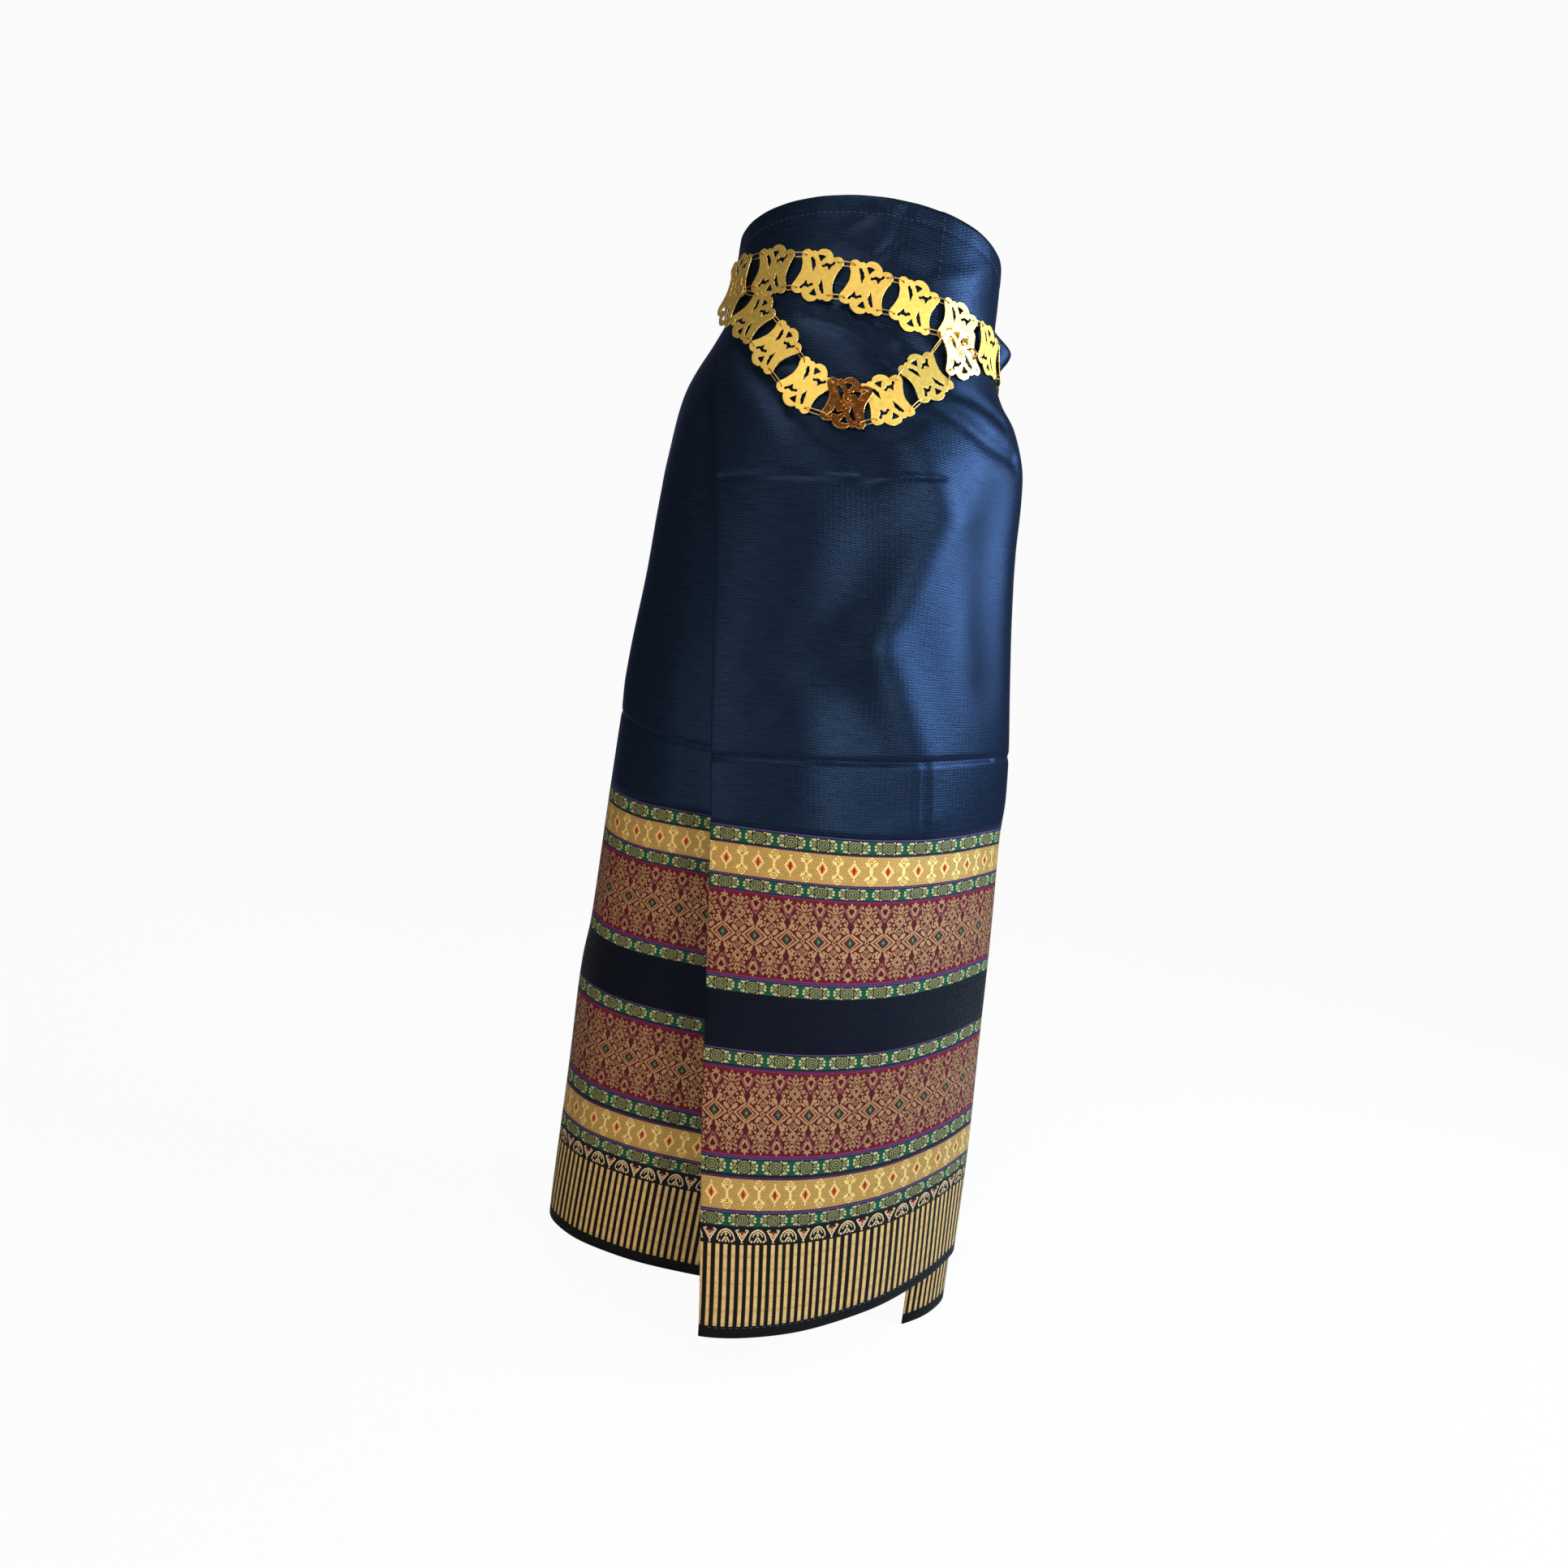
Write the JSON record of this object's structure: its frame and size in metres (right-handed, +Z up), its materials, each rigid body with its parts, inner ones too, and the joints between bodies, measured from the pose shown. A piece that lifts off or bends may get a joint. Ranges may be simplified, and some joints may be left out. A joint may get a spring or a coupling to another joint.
{
  "type": "sinh tube skirt",
  "caption": "Long wrapped tube skirt in navy satin with a deep woven foot border and a pierced chain belt worn round the waist with a swag in front.",
  "frame": {"origin": "on the skirt's middle line at the waist, level with the chain belt at the front", "axes": "+Z up the body, -Y towards the front, +X towards the wearer's left, away from the free edge of the wrap"},
  "size_m": [0.4163, 0.3118, 1.0331],
  "materials": {
    "navy_satin": "satin",
    "woven_brocade": "matte",
    "gilt_plate": "satin"
  },
  "bodies": {
    "root": {"head_band": "navy_satin", "body_cloth": "navy_satin", "foot_border": "woven_brocade", "side_tuck": "navy_satin", "belt_plate_01": "gilt_plate", "belt_plate_02": "gilt_plate", "belt_plate_03": "gilt_plate", "belt_plate_04": "gilt_plate", "belt_plate_05": "gilt_plate", "belt_plate_06": "gilt_plate", "belt_plate_07": "gilt_plate", "belt_plate_08": "gilt_plate", "belt_plate_09": "gilt_plate", "belt_plate_10": "gilt_plate", "belt_plate_11": "gilt_plate", "belt_plate_12": "gilt_plate", "belt_plate_13": "gilt_plate", "belt_plate_14": "gilt_plate", "belt_plate_15": "gilt_plate", "belt_plate_16": "gilt_plate", "swag_plate_1": "gilt_plate", "swag_plate_2": "gilt_plate", "swag_plate_3": "gilt_plate", "swag_plate_4": "gilt_plate", "swag_plate_5": "gilt_plate", "swag_plate_6": "gilt_plate", "swag_plate_7": "gilt_plate", "swag_plate_8": "gilt_plate"}
  },
  "joints": []
}
